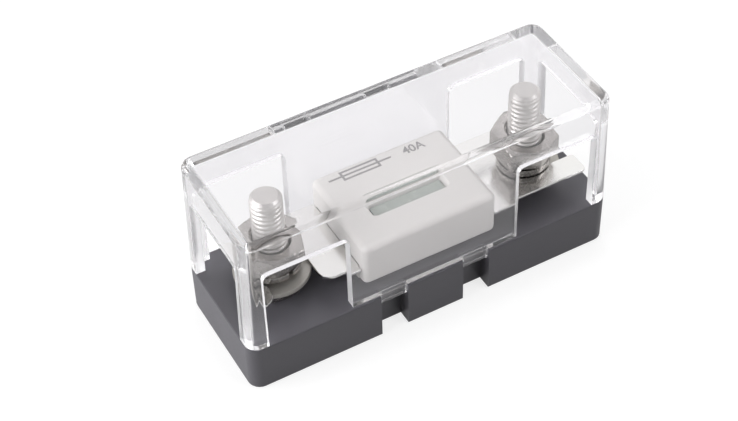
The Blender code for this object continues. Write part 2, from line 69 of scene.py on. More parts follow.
WELD_GAP = 0.000002
FLAT_ANGLE = 0.6
FINE_EDGE = 0.0001
EDGE_SEGMENTS = 2
EDGE_ANGLE = 50.0
FACE_ANGLE = 60.0
FLAT_FACE_WEIGHT = 100

# Posts: the thread's crest and root are shares of the way from a crest's middle to the groove's middle

POST_RADIUS = 0.00395
POST_CHAMFER = 0.001
POST_STEPS = 48
SHANK_START = 0.003
THREAD_CREST = 0.12
THREAD_ROOT = 0.92
HEAD_HEIGHT = 0.0053
HEAD_EASE = 0.0005
HEAD_FACE_SHARE = 0.93

# Nuts and flat washers

ROUND_STEPS = 96
SIXTH_TURN = math.radians(60.0)
NUT_FACE_SHARE = 0.95
NUT_CONE_ANGLE = 30.0
NUT_CONE_ROWS = 5

# Print on the case, placed from the middle of the case's top

PRINT_PLACE = 0.74
PRINT_LIFT = 0.00002
RATING = "40A"
FIGURES_SIDE = 0.00865
FIGURES_FONT_SHARE = 1.4
FIGURES_WEIGHT_SHARE = 0.03
SIGN_SIDE = -0.00625
SIGN_SIZE = (0.0104, 0.0032)
SIGN_LEAD = 0.0034
SIGN_STROKE_SHARE = 0.24

# Cover: an attribute says how matt each face is, from 0 for polished to 1 for matt

MATT_EDGE = "matt_edge"
MATT_RIM = 1.0
MATT_OPENING_TOP = 0.22
MATT_TOP_EDGE = 0.08
POLISHED_ROUGHNESS = 0.015
MATT_ROUGHNESS = 0.5
WALL_REACH = 0.0029
OPENING_TOPS_FROM = 0.01
OPENING_TOPS_TO_SHARE = 0.8
FACING = 0.7
SLANTED = (0.1, 0.98)


class FuseHolderSizes(bpy.types.PropertyGroup):
    """Sizes that the frame leaves to the looks."""

    thread_pitch: FloatProperty(
        name="Thread pitch", description="Rise of the posts' thread in one turn",
        default=0.00141, min=0.0005, max=0.003, precision=5, unit="LENGTH")
    thread_depth: FloatProperty(
        name="Thread depth", description="Depth of the posts' thread",
        default=0.00036, min=0.0001, max=0.001, precision=5, unit="LENGTH")
    thread_rows: IntProperty(
        name="Thread rows", description="Rows of points in one turn of the thread", default=9, min=4, max=24)
    nut_chamfer: FloatProperty(
        name="Nut chamfer", description="Lead-in at each end of a nut's bore",
        default=0.0005, min=0.0, max=0.002, precision=5, unit="LENGTH")
    edge_round: FloatProperty(
        name="Edge rounding", description="Rounding of the moulded edges and the lock washers' edges",
        default=0.00018, min=0.0, max=0.001, precision=5, unit="LENGTH")
    print_height: FloatProperty(
        name="Print height", description="Height of the printed figures on the fuse",
        default=0.0025, min=0.001, max=0.01, precision=5, unit="LENGTH")


class FuseHolderColours(bpy.types.PropertyGroup):
    """Colours of the finishes, linear."""

    base: FloatVectorProperty(
        name="Base", description="Dark moulded plastic of the base", subtype="COLOR", size=3,
        default=(0.096, 0.093, 0.105), min=0.0, max=1.0)
    steel: FloatVectorProperty(
        name="Steel", description="Plated steel of the posts", subtype="COLOR", size=3,
        default=(0.68, 0.66, 0.64), min=0.0, max=1.0)
    nut: FloatVectorProperty(
        name="Nuts", description="Duller steel of the nuts and lock washers", subtype="COLOR", size=3,
        default=(0.45, 0.43, 0.412), min=0.0, max=1.0)
    washer: FloatVectorProperty(
        name="Washers", description="Matt zinc of the flat washers", subtype="COLOR", size=3,
        default=(0.52, 0.50, 0.47), min=0.0, max=1.0)
    strip: FloatVectorProperty(
        name="Strip", description="Tinned strip of the fuse", subtype="COLOR", size=3,
        default=(0.82, 0.81, 0.795), min=0.0, max=1.0)
    case: FloatVectorProperty(
        name="Case", description="White plastic of the fuse's case", subtype="COLOR", size=3,
        default=(0.63, 0.614, 0.595), min=0.0, max=1.0)
    pane: FloatVectorProperty(
        name="Window", description="Grey-green sight window of the fuse", subtype="COLOR", size=3,
        default=(0.36, 0.39, 0.36), min=0.0, max=1.0)
    cover: FloatVectorProperty(
        name="Cover", description="Tint of the clear cover", subtype="COLOR", size=3,
        default=(0.955, 0.948, 0.962), min=0.0, max=1.0)
    ink: FloatVectorProperty(
        name="Ink", description="Grey print on the fuse", subtype="COLOR", size=3,
        default=(0.24, 0.23, 0.23), min=0.0, max=1.0)


def sizes():
    return bpy.context.scene.fuse_holder_sizes


def colours():
    return bpy.context.scene.fuse_holder_colours


# Shader helpers


def new_node(tree, kind, label="", **values):
    made = tree.nodes.new(kind)
    made.label = label
    for key, value in values.items():
        setattr(made, key, value)
    return made


def set_inputs(node, values):
    for name, value in values.items():
        node.inputs[name].default_value = value


def value_sockets(tree, inputs, outputs):
    """Give a shader group its named value sockets: inputs with their defaults, and outputs."""
    for name, value in inputs.items():
        socket = tree.interface.new_socket(name, in_out="INPUT", socket_type="NodeSocketFloat")
        socket.default_value = value
    for name in outputs:
        tree.interface.new_socket(name, in_out="OUTPUT", socket_type="NodeSocketFloat")


def moulded_grain():
    """Shader group: fine moulded grain. Puts out a height, a roughness and a slow colour shift."""
    found = bpy.data.node_groups.get("moulded_grain")
    if found:
        return found
    tree = bpy.data.node_groups.new("moulded_grain", "ShaderNodeTree")
    value_sockets(
        tree,
        {"Grain Scale": 2500.0, "Cloud Scale": 60.0, "Roughness Low": 0.3, "Roughness High": 0.45},
        ("Height", "Roughness", "Cloud"))
    entry = new_node(tree, "NodeGroupInput")
    leave = new_node(tree, "NodeGroupOutput")
    place = new_node(tree, "ShaderNodeTexCoord")
    grain = new_node(tree, "ShaderNodeTexNoise", "grain")
    set_inputs(grain, {"Detail": 3.0})
    cloud = new_node(tree, "ShaderNodeTexNoise", "cloud")
    set_inputs(cloud, {"Detail": 4.0})
    spread = new_node(tree, "ShaderNodeMapRange", "roughness range")
    set_inputs(spread, {"From Min": 0.3, "From Max": 0.7})
    tree.links.new(place.outputs["Object"], grain.inputs["Vector"])
    tree.links.new(place.outputs["Object"], cloud.inputs["Vector"])
    tree.links.new(entry.outputs["Grain Scale"], grain.inputs["Scale"])
    tree.links.new(entry.outputs["Cloud Scale"], cloud.inputs["Scale"])
    tree.links.new(cloud.outputs["Fac"], spread.inputs["Value"])
    tree.links.new(entry.outputs["Roughness Low"], spread.inputs["To Min"])
    tree.links.new(entry.outputs["Roughness High"], spread.inputs["To Max"])
    tree.links.new(grain.outputs["Fac"], leave.inputs["Height"])
    tree.links.new(spread.outputs["Result"], leave.inputs["Roughness"])
    tree.links.new(cloud.outputs["Fac"], leave.inputs["Cloud"])
    return tree


def handling_wear():
    """Shader group: short fine scratches. Puts out a mask, and a roughness raised where the scratches are."""
    found = bpy.data.node_groups.get("handling_wear")
    if found:
        return found
    tree = bpy.data.node_groups.new("handling_wear", "ShaderNodeTree")
    value_sockets(tree, {"Scale": 300.0, "Amount": 0.1, "Roughness": 0.3}, ("Mask", "Roughness"))
    entry = new_node(tree, "NodeGroupInput")
    leave = new_node(tree, "NodeGroupOutput")
    place = new_node(tree, "ShaderNodeTexCoord")
    masks = []
    for stretch in ((1.0, 14.0, 9.0), (11.0, 1.5, 8.0)):
        spread = new_node(tree, "ShaderNodeVectorMath", "stretch", operation="MULTIPLY")
        spread.inputs[1].default_value = stretch
        lines = new_node(tree, "ShaderNodeTexNoise", "scratches")
        set_inputs(lines, {"Detail": 2.0, "Distortion": 0.4})
        keep = new_node(tree, "ShaderNodeMapRange", "only the peaks", interpolation_type="SMOOTHSTEP")
        set_inputs(keep, {"From Min": 0.62, "From Max": 0.72})
        tree.links.new(place.outputs["Object"], spread.inputs[0])
        tree.links.new(spread.outputs["Vector"], lines.inputs["Vector"])
        tree.links.new(entry.outputs["Scale"], lines.inputs["Scale"])
        tree.links.new(lines.outputs["Fac"], keep.inputs["Value"])
        masks.append(keep.outputs["Result"])
    both = new_node(tree, "ShaderNodeMath", "either direction", operation="MAXIMUM")
    tree.links.new(masks[0], both.inputs[0])
    tree.links.new(masks[1], both.inputs[1])
    rise = new_node(tree, "ShaderNodeMath", "raised roughness", operation="MULTIPLY_ADD", use_clamp=True)
    tree.links.new(both.outputs[0], rise.inputs[0])
    tree.links.new(entry.outputs["Amount"], rise.inputs[1])
    tree.links.new(entry.outputs["Roughness"], rise.inputs[2])
    tree.links.new(both.outputs[0], leave.inputs["Mask"])
    tree.links.new(rise.outputs[0], leave.inputs["Roughness"])
    return tree


def add_wear(tree, scale, amount, roughness):
    """Put the shared scratches on a roughness, and return the raised roughness."""
    wear = new_node(tree, "ShaderNodeGroup", "wear")
    wear.node_tree = handling_wear()
    set_inputs(wear, {"Scale": scale, "Amount": amount})
    tree.links.new(roughness, wear.inputs["Roughness"])
    return wear.outputs["Roughness"]


def new_material(name):
    """A new material, its node tree and its Principled shader."""
    made = bpy.data.materials.new(name)
    made.use_nodes = True
    return made, made.node_tree, made.node_tree.nodes["Principled BSDF"]


def grained_material(name, colour, shift, grain, rough, bump, metallic=0.0, wear=(250.0, 0.08)):
    """A Principled material with the shared grain and wear.

    The colour is clouded by the share in shift. grain holds the scales of grain and clouds, rough the lowest
    and the highest roughness, bump the strength and height of the grain, and wear the scale and amount of the
    scratches.
    """
    found = bpy.data.materials.get(name)
    if found:
        return found
    made, tree, shader = new_material(name)
    set_inputs(shader, {"Metallic": metallic})
    surface = new_node(tree, "ShaderNodeGroup", "grain")
    surface.node_tree = moulded_grain()
    set_inputs(surface, {"Grain Scale": grain[0], "Cloud Scale": grain[1],
                         "Roughness Low": rough[0], "Roughness High": rough[1]})
    blend = new_node(tree, "ShaderNodeMix", "clouding", data_type="RGBA")
    blend.inputs["A"].default_value = (*[c * (1.0 - shift) for c in colour], 1.0)
    blend.inputs["B"].default_value = (*[min(1.0, c * (1.0 + shift)) for c in colour], 1.0)
    tree.links.new(surface.outputs["Cloud"], blend.inputs["Factor"])
    tree.links.new(blend.outputs["Result"], shader.inputs["Base Color"])
    tree.links.new(add_wear(tree, *wear, surface.outputs["Roughness"]), shader.inputs["Roughness"])
    lift = new_node(tree, "ShaderNodeBump", "grain height")
    set_inputs(lift, {"Strength": bump[0], "Distance": bump[1]})
    tree.links.new(surface.outputs["Height"], lift.inputs["Height"])
    tree.links.new(lift.outputs["Normal"], shader.inputs["Normal"])
    return made


def base_material():
    return grained_material(
        "dark_moulding", colours().base, shift=0.08,
        grain=(1800.0, 45.0), rough=(0.34, 0.44), bump=(0.12, 0.00004))


def steel_material():
    return grained_material(
        "zinc_posts", colours().steel, shift=0.06,
        grain=(1600.0, 220.0), rough=(0.44, 0.56), bump=(0.10, 0.00003), metallic=1.0)


def washer_material():
    return grained_material(
        "zinc_washers", colours().washer, shift=0.06,
        grain=(1500.0, 240.0), rough=(0.48, 0.60), bump=(0.10, 0.00003), metallic=0.8)


def nut_material():
    return grained_material(
        "dull_nuts", colours().nut, shift=0.10,
        grain=(1400.0, 260.0), rough=(0.20, 0.28), bump=(0.12, 0.00003), metallic=1.0)


def strip_material():
    return grained_material(
        "tinned_copper", colours().strip, shift=0.03,
        grain=(900.0, 90.0), rough=(0.14, 0.24), bump=(0.05, 0.00003), metallic=1.0)


def case_material():
    return grained_material(
        "white_moulding", colours().case, shift=0.02,
        grain=(2200.0, 80.0), rough=(0.40, 0.52), bump=(0.08, 0.00003))


def pane_material():
    return grained_material(
        "window_moulding", colours().pane, shift=0.04,
        grain=(1500.0, 120.0), rough=(0.22, 0.30), bump=(0.05, 0.00002))


def ink_material():
    return grained_material(
        "print_ink", colours().ink, shift=0.05,
        grain=(3000.0, 300.0), rough=(0.45, 0.55), bump=(0.05, 0.00001))


def cover_material():
    """Clear plastic. Light from the lamps passes straight through, so that what is inside stays lit."""
    made, tree, shader = new_material("clear_moulding")
    set_inputs(shader, {"Base Color": (*colours().cover, 1.0), "Transmission Weight": 0.985, "IOR": 1.49})
    edge = new_node(tree, "ShaderNodeAttribute", "matt edges", attribute_name=MATT_EDGE)
    finish = new_node(tree, "ShaderNodeMapRange", "polished to matt")
    set_inputs(finish, {"To Min": POLISHED_ROUGHNESS, "To Max": MATT_ROUGHNESS})
    tree.links.new(edge.outputs["Fac"], finish.inputs["Value"])
    worn = add_wear(tree, scale=120.0, amount=0.05, roughness=finish.outputs["Result"])
    tree.links.new(worn, shader.inputs["Roughness"])
    path = new_node(tree, "ShaderNodeLightPath")
    clear = new_node(tree, "ShaderNodeBsdfTransparent", "lamp light passes")
    set_inputs(clear, {"Color": (0.985, 0.985, 0.99, 1.0)})
    mix = new_node(tree, "ShaderNodeMixShader")
    tree.links.new(path.outputs["Is Shadow Ray"], mix.inputs["Fac"])
    tree.links.new(shader.outputs["BSDF"], mix.inputs[1])
    tree.links.new(clear.outputs["BSDF"], mix.inputs[2])
    tree.links.new(mix.outputs["Shader"], tree.nodes["Material Output"].inputs["Surface"])
    return made


# Mesh helpers


def add_piece(name, mesh, material, sharp_degrees=32.0):
    """A piece in the scene, smooth where its faces meet at less than the given angle."""
    made = bpy.data.objects.new(name, mesh)
    bpy.context.scene.collection.objects.link(made)
    mesh.materials.clear()
    mesh.materials.append(material)
    mesh.shade_smooth()
    mesh.set_sharp_from_angle(angle=math.radians(sharp_degrees))
    return made


def settle(piece, body, slot, *nodes):
    """Hand a finished piece to the frame: its body, a slot that is not used, and the solids it stands for."""
    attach(piece, body)
    if nodes:
        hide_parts(*nodes)


def merged_mesh(node):
    """A copy of a solid's mesh with its points welded and its flat triangles joined."""
    bm = bmesh.new()
    bm.from_mesh(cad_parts[node].data)
    bmesh.ops.remove_doubles(bm, verts=bm.verts, dist=WELD_GAP)
    bmesh.ops.dissolve_limit(bm, angle_limit=math.radians(FLAT_ANGLE), verts=bm.verts, edges=bm.edges)
    mesh = bpy.data.meshes.new(node + "_merged")
    bm.to_mesh(mesh)
    bm.free()
    return mesh


def evaluated_copy(piece, name):
    """The mesh that a piece's modifiers leave, as a plain mesh."""
    depsgraph = bpy.context.evaluated_depsgraph_get()
    mesh = bpy.data.meshes.new_from_object(piece.evaluated_get(depsgraph), depsgraph=depsgraph)
    mesh.name = name
    return mesh


def round_edges(piece, width):
    """Round a piece's sharp edges, keep its flat faces flat in the shading, and store the result in it."""
    step = piece.modifiers.new("edge rounding", "BEVEL")
    step.width = width
    step.segments = EDGE_SEGMENTS
    step.limit_method = "ANGLE"
    step.angle_limit = math.radians(EDGE_ANGLE)
    step.use_clamp_overlap = True
    mesh = evaluated_copy(piece, piece.name)
    piece.modifiers.remove(step)
    piece.data = mesh
    mesh.shade_smooth()
    mesh.set_sharp_from_angle(angle=math.radians(FACE_ANGLE))
    step = piece.modifiers.new("flat faces first", "WEIGHTED_NORMAL")
    step.mode = "FACE_AREA"
    step.weight = FLAT_FACE_WEIGHT
    step.keep_sharp = True
    mesh = evaluated_copy(piece, piece.name)
    piece.modifiers.remove(step)
    piece.data = mesh


def rounded_piece(name, node, material, width):
    """A piece with a solid's own shape and rounded edges."""
    piece = add_piece(name, merged_mesh(node), material)
    round_edges(piece, width)
    return piece


def revolve(bm, radius_at, heights, steps, closed):
    """Skin rings of points about Z. radius_at(angle, row) gives a radius, and heights holds each ring's z."""
    rings = []
    for row, z in enumerate(heights):
        ring = []
        for i in range(steps):
            angle = 2.0 * math.pi * i / steps
            radius = radius_at(angle, row)
            ring.append(bm.verts.new((radius * math.cos(angle), radius * math.sin(angle), z)))
        rings.append(ring)
    pairs = list(zip(rings, rings[1:])) + ([(rings[-1], rings[0])] if closed else [])
    for lower, upper in pairs:
        for i in range(steps):
            after = (i + 1) % steps
            bm.faces.new((lower[i], lower[after], upper[after], upper[i]))


def placed_mesh(name, bm, place, turn=0.0):
    """Turn a shape about Z, move it to its place and return it as a mesh."""
    bmesh.ops.recalc_face_normals(bm, faces=bm.faces)
    bmesh.ops.transform(bm, matrix=Matrix.Translation(place) @ Matrix.Rotation(turn, 4, "Z"), verts=bm.verts)
    mesh = bpy.data.meshes.new(name)
    bm.to_mesh(mesh)
    bm.free()
    return mesh


def hexagon_radius(angle, half_flats):
    """Distance from the middle of a hexagon to its outline. Angle 0 points at a corner."""
    turn = (angle % SIXTH_TURN) - SIXTH_TURN / 2
    return half_flats / math.cos(turn)


def axis_of(node):
    """The upright axis of a round or hexagonal solid, as the middle of its box."""
    low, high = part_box(node)
    return (low + high) / 2


def reach_of(node):
    """The solid's inner radius, outer radius and the angle of its farthest point, all about its own axis."""
    middle = axis_of(node)
    spots = [v.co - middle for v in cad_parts[node].data.vertices]
    radii = [math.hypot(spot.x, spot.y) for spot in spots]
    farthest = spots[radii.index(max(radii))]
    return min(radii), max(radii), math.atan2(farthest.y, farthest.x)


def nut_mesh(name, node):
    """A hexagon nut on a solid's place: its corners are cut by a flat cone above and below."""
    low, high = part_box(node)
    middle = axis_of(node)
    bore, corner, turn = reach_of(node)
    half_flats = corner * math.cos(SIXTH_TURN / 2)
    rim = half_flats * NUT_FACE_SHARE
    slope = math.tan(math.radians(NUT_CONE_ANGLE))
    fall = (corner - rim) * slope
    height = high.z - low.z
    lead_in = bore + sizes().nut_chamfer
    cuts = [fall * i / NUT_CONE_ROWS for i in range(NUT_CONE_ROWS + 1)]
    profile = [(sizes().nut_chamfer, bore), (0.0, lead_in)]
    profile += [(cut, rim + cut / slope) for cut in cuts]
    profile += [(height - cut, rim + cut / slope) for cut in reversed(cuts)]
    profile += [(height, lead_in), (height - sizes().nut_chamfer, bore)]
    bm = bmesh.new()
    revolve(
        bm, lambda angle, row: min(profile[row][1], hexagon_radius(angle, half_flats)),
        [z for z, radius in profile], ROUND_STEPS, True)
    return placed_mesh(name, bm, (middle.x, middle.y, low.z), turn)


def washer_mesh(name, node):
    """A flat round washer on a solid's place, with a fine edge all round."""
    low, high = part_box(node)
    middle = axis_of(node)
    bore, outer = reach_of(node)[:2]
    height = high.z - low.z
    profile = [(FINE_EDGE, bore), (0.0, bore + FINE_EDGE), (0.0, outer - FINE_EDGE), (FINE_EDGE, outer)]
    profile += [(height - z, radius) for z, radius in reversed(profile)]
    bm = bmesh.new()
    revolve(bm, lambda angle, row: profile[row][1], [z for z, radius in profile], ROUND_STEPS, True)
    return placed_mesh(name, bm, (middle.x, middle.y, low.z))


# Geometry Nodes: the posts' thread


class TreeMaker:
    """Short calls for building a geometry tree."""

    def __init__(self, name):
        self.tree = bpy.data.node_groups.new(name, "GeometryNodeTree")

    def socket(self, name, kind, direction="INPUT", value=None):
        made = self.tree.interface.new_socket(name, in_out=direction, socket_type=kind)
        if value is not None:
            made.default_value = value

    def add(self, kind, **values):
        made = self.tree.nodes.new(kind)
        for key, value in values.items():
            setattr(made, key, value)
        return made

    def link(self, source, target):
        self.tree.links.new(source, target)

    def math(self, operation, a, b=None, c=None, clamp=False):
        made = self.add("ShaderNodeMath", operation=operation, use_clamp=clamp)
        for value, socket in zip((a, b, c), made.inputs):
            if value is None:
                continue
            if isinstance(value, (int, float)):
                socket.default_value = value
            else:
                self.link(value, socket)
        return made.outputs[0]


def thread_tree():
    """Geometry tree: a threaded shank about Z, with a chamfered end, closed above and below.

    It bends a flat grid into a round: columns go round the axis and rows climb it. The first and the last row
    lie on the axis and close the ends.
    """
    maker = TreeMaker("threaded_shank")
    maker.socket("Geometry", "NodeSocketGeometry", "OUTPUT")
    lengths = {"Radius": POST_RADIUS, "Depth": sizes().thread_depth, "Pitch": sizes().thread_pitch,
               "Bottom": 0.0, "Top": 0.03, "Chamfer": POST_CHAMFER}
    for name, value in lengths.items():
        maker.socket(name, "NodeSocketFloat", value=value)
    maker.socket("Rows", "NodeSocketInt", value=200)
    maker.socket("Steps", "NodeSocketInt", value=POST_STEPS)
    maker.socket("Material", "NodeSocketMaterial")
    entry = maker.add("NodeGroupInput").outputs
    leave = maker.add("NodeGroupOutput")

    grid = maker.add("GeometryNodeMeshGrid")
    set_inputs(grid, {"Size X": 1.0, "Size Y": 1.0})
    maker.link(maker.math("ADD", entry["Steps"], 1.0), grid.inputs["Vertices X"])
    maker.link(entry["Rows"], grid.inputs["Vertices Y"])
    position = maker.add("GeometryNodeInputPosition")
    split = maker.add("ShaderNodeSeparateXYZ")
    maker.link(position.outputs[0], split.inputs[0])
    turn = maker.math("ADD", split.outputs["X"], 0.5)
    climb = maker.math("ADD", split.outputs["Y"], 0.5)

    last = maker.math("SUBTRACT", entry["Rows"], 1.0)
    row = maker.math("ROUND", maker.math("MULTIPLY", climb, last))
    inner = maker.math("SUBTRACT", row, 1.0)
    share = maker.math("DIVIDE", inner, maker.math("SUBTRACT", last, 2.0), clamp=True)
    length = maker.math("SUBTRACT", entry["Top"], entry["Bottom"])
    height = maker.math("MULTIPLY_ADD", share, length, entry["Bottom"])

    phase = maker.math("SUBTRACT", maker.math("DIVIDE", height, entry["Pitch"]), turn)
    wave = maker.math("MULTIPLY", maker.math("PINGPONG", phase, 0.5), 2.0)
    ramp = maker.add("ShaderNodeMapRange", interpolation_type="SMOOTHSTEP")
    maker.link(wave, ramp.inputs["Value"])
    set_inputs(ramp, {"From Min": THREAD_CREST, "From Max": THREAD_ROOT})
    groove = maker.math("MULTIPLY", ramp.outputs["Result"], entry["Depth"])
    ridge = maker.math("SUBTRACT", entry["Radius"], groove)
    to_top = maker.math("SUBTRACT", entry["Top"], height)
    cone = maker.math("ADD", maker.math("SUBTRACT", entry["Radius"], entry["Chamfer"]), to_top)
    body = maker.math("MINIMUM", ridge, cone)
    past_first = maker.math("GREATER_THAN", row, 0.5)
    before_last = maker.math("LESS_THAN", row, maker.math("SUBTRACT", last, 0.5))
    radius = maker.math("MULTIPLY", body, maker.math("MULTIPLY", past_first, before_last))

    angle = maker.math("MULTIPLY", turn, 2.0 * math.pi)
    join = maker.add("ShaderNodeCombineXYZ")
    maker.link(maker.math("MULTIPLY", radius, maker.math("COSINE", angle)), join.inputs["X"])
    maker.link(maker.math("MULTIPLY", radius, maker.math("SINE", angle)), join.inputs["Y"])
    maker.link(height, join.inputs["Z"])
    place = maker.add("GeometryNodeSetPosition")
    maker.link(grid.outputs["Mesh"], place.inputs["Geometry"])
    maker.link(join.outputs["Vector"], place.inputs["Position"])
    weld = maker.add("GeometryNodeMergeByDistance")
    set_inputs(weld, {"Distance": WELD_GAP})
    maker.link(place.outputs["Geometry"], weld.inputs["Geometry"])
    real = maker.add("GeometryNodeRealizeInstances")
    maker.link(weld.outputs["Geometry"], real.inputs["Geometry"])
    paint = maker.add("GeometryNodeSetMaterial")
    maker.link(real.outputs["Geometry"], paint.inputs["Geometry"])
    maker.link(entry["Material"], paint.inputs["Material"])
    maker.link(paint.outputs["Geometry"], leave.inputs["Geometry"])
    return maker.tree


def grown_mesh(tree, name, **values):
    """Run a geometry tree with named inputs and return its result as a plain mesh."""
    carrier = bpy.data.objects.new(name + "_carrier", bpy.data.meshes.new(name + "_seed"))
    bpy.context.scene.collection.objects.link(carrier)
    step = carrier.modifiers.new("tree", "NODES")
    step.node_group = tree
    sockets = {item.name: item.identifier for item in tree.interface.items_tree if item.in_out == "INPUT"}
    for key, value in values.items():
        step[sockets[key]] = value
    carrier.update_tag()
    bpy.context.view_layer.update()
    mesh = evaluated_copy(carrier, name)
    bpy.data.objects.remove(carrier)
    return mesh


def add_head(bm, bottom, half_flats):
    """Add a hexagon head about Z, its lower edge eased. Each flat face is closed by a point in its middle."""
    profile = ((0.0, 0.0), (0.0, HEAD_FACE_SHARE), (HEAD_EASE, 1.0), (HEAD_HEIGHT, 1.0), (HEAD_HEIGHT, 0.0))
    revolve(
        bm, lambda angle, row: hexagon_radius(angle, half_flats) * profile[row][1],
        [bottom + z for z, share in profile], POST_STEPS, False)
    bmesh.ops.remove_doubles(bm, verts=bm.verts, dist=WELD_GAP)


def post_mesh(name, node, washer, tree, material):
    """A threaded shank with a hexagon head, as high as a post's solid and on the axis of its flat washer."""
    low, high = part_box(node)
    middle = axis_of(washer)
    bottom = low.z + SHANK_START
    rows = int(sizes().thread_rows * (high.z - bottom) / sizes().thread_pitch)
    mesh = grown_mesh(
        tree, name, Radius=POST_RADIUS, Depth=sizes().thread_depth, Pitch=sizes().thread_pitch,
        Bottom=bottom, Top=high.z, Chamfer=POST_CHAMFER, Rows=rows, Steps=POST_STEPS, Material=material)
    bm = bmesh.new()
    bm.from_mesh(mesh)
    add_head(bm, low.z, (high.y - low.y) / 2)
    bm.normal_update()
    bmesh.ops.recalc_face_normals(bm, faces=bm.faces)
    bmesh.ops.translate(bm, vec=(middle.x, middle.y, 0.0), verts=bm.verts)
    bm.to_mesh(mesh)
    bm.free()
    return mesh


# Pieces


class MakeBase(bpy.types.Operator):
    """Finish the dark moulded base"""

    bl_idname = "fuse_holder.base"
    bl_label = "Base"

    def execute(self, context):
        piece = rounded_piece("moulded_base", "base", base_material(), sizes().edge_round)
        settle(piece, "holder", "base_plastic", "base")
        return {"FINISHED"}


class MakePosts(bpy.types.Operator):
    """Make the threaded posts with their hexagon heads"""

    bl_idname = "fuse_holder.posts"
    bl_label = "Posts"

    def execute(self, context):
        steel = steel_material()
        tree = thread_tree()
        for side in SIDES:
            name = "threaded_post_" + side
            mesh = post_mesh(name, "post_" + side, "flat_washer_" + side, tree, steel)
            piece = add_piece(name, mesh, steel, sharp_degrees=40.0)
            settle(piece, "holder", "plated_steel", "post_" + side)
        return {"FINISHED"}


class MakeNuts(bpy.types.Operator):
    """Make the hexagon nuts: the two that clamp the fuse and the two on the base"""

    bl_idname = "fuse_holder.nuts"
    bl_label = "Nuts"

    def execute(self, context):
        steel = nut_material()
        for side in SIDES:
            turning = ("nut_" + side, "hexagon_nut_" + side, side + "_nut")
            fixed = ("clamp_nut_" + side, "base_nut_" + side, "holder")
            for node, name, body in (turning, fixed):
                piece = add_piece(name, nut_mesh(name, node), steel, sharp_degrees=14.0)
                settle(piece, body, "plated_steel", node)
        return {"FINISHED"}


class MakeWashers(bpy.types.Operator):
    """Make the flat washers and finish the split lock washers"""

    bl_idname = "fuse_holder.washers"
    bl_label = "Washers"

    def execute(self, context):
        zinc = washer_material()
        dull = nut_material()
        for side in SIDES:
            name = "plain_washer_" + side
            piece = add_piece(name, washer_mesh(name, "flat_washer_" + side), zinc)
            settle(piece, "holder", "plated_steel", "flat_washer_" + side)
            piece = rounded_piece("spring_washer_" + side, "lock_washer_" + side, dull, sizes().edge_round)
            settle(piece, side + "_washer", "plated_steel", "lock_washer_" + side)
        return {"FINISHED"}


class MakeStrip(bpy.types.Operator):
    """Finish the bright stamped strip of the fuse"""

    bl_idname = "fuse_holder.strip"
    bl_label = "Strip"

    def execute(self, context):
        piece = rounded_piece("tinned_blades", "fuse_strip", strip_material(), FINE_EDGE)
        settle(piece, "holder", "tinned_strip", "fuse_strip")
        return {"FINISHED"}


class MakeCase(bpy.types.Operator):
    """Finish the fuse's case, its plug and its window"""

    bl_idname = "fuse_holder.case"
    bl_label = "Case"

    def execute(self, context):
        white = case_material()
        piece = rounded_piece("white_case", "fuse_case", white, sizes().edge_round)
        settle(piece, "holder", "case_plastic", "fuse_case")
        piece = add_piece("case_plug", merged_mesh("fuse_plug"), white)
        settle(piece, "holder", "case_plastic", "fuse_plug")
        piece = rounded_piece("sight_window", "fuse_window", pane_material(), FINE_EDGE)
        settle(piece, "holder", "pane_plastic", "fuse_window")
        return {"FINISHED"}


def ink_bar(bm, low, high, level):
    corners = ((low[0], low[1]), (high[0], low[1]), (high[0], high[1]), (low[0], high[1]))
    bm.faces.new([bm.verts.new((x, y, level)) for x, y in corners])


def fuse_sign(bm, middle, stroke, level):
    """The general sign of a fuse: a rectangle's outline with a line through it."""
    half_x, half_y = SIGN_SIZE[0] / 2, SIGN_SIZE[1] / 2
    x, y = middle
    ink_bar(bm, (x - half_x, y - half_y), (x + half_x, y - half_y + stroke), level)
    ink_bar(bm, (x - half_x, y + half_y - stroke), (x + half_x, y + half_y), level)
    for side in (-1, 1):
        edge = x + side * (half_x - stroke / 2)
        ink_bar(bm, (edge - stroke / 2, y - half_y + stroke), (edge + stroke / 2, y + half_y - stroke), level)
    ink_bar(bm, (x - half_x - SIGN_LEAD, y - stroke / 2), (x - half_x, y + stroke / 2), level)
    ink_bar(bm, (x - half_x + stroke, y - stroke / 2), (x + half_x - stroke, y + stroke / 2), level)
    ink_bar(bm, (x + half_x, y - stroke / 2), (x + half_x + SIGN_LEAD, y + stroke / 2), level)


def figures_mesh(text, height):
    """Figures as a flat mesh, its middle at the origin."""
    curve = bpy.data.curves.new("figures", "FONT")
    curve.body = text
    curve.align_x = "CENTER"
    curve.align_y = "CENTER"
    curve.size = height * FIGURES_FONT_SHARE
    curve.offset = height * FIGURES_WEIGHT_SHARE
    carrier = bpy.data.objects.new("figures", curve)
    bpy.context.scene.collection.objects.link(carrier)
    bpy.context.view_layer.update()
    mesh = evaluated_copy(carrier, "figures")
    bpy.data.objects.remove(carrier)
    return mesh


class MakePrint(bpy.types.Operator):
    """Print the rating and a fuse sign on the case"""

    bl_idname = "fuse_holder.print"
    bl_label = "Print"

    def execute(self, context):
        level = CASE_HIGH.z + PRINT_LIFT
        middle = (CASE_LOW + CASE_HIGH) / 2
        height = sizes().print_height
        line = middle.y + (CASE_HIGH.y - middle.y) * PRINT_PLACE
        mesh = figures_mesh(RATING, height)
        bm = bmesh.new()
        bm.from_mesh(mesh)
        bmesh.ops.translate(bm, vec=(middle.x + FIGURES_SIDE, line, level), verts=bm.verts)
        fuse_sign(bm, (middle.x + SIGN_SIDE, line), height * SIGN_STROKE_SHARE, level)
        bm.to_mesh(mesh)
        bm.free()
        piece = add_piece("printed_rating", mesh, ink_material())
        settle(piece, "holder", "case_plastic")
        return {"FINISHED"}


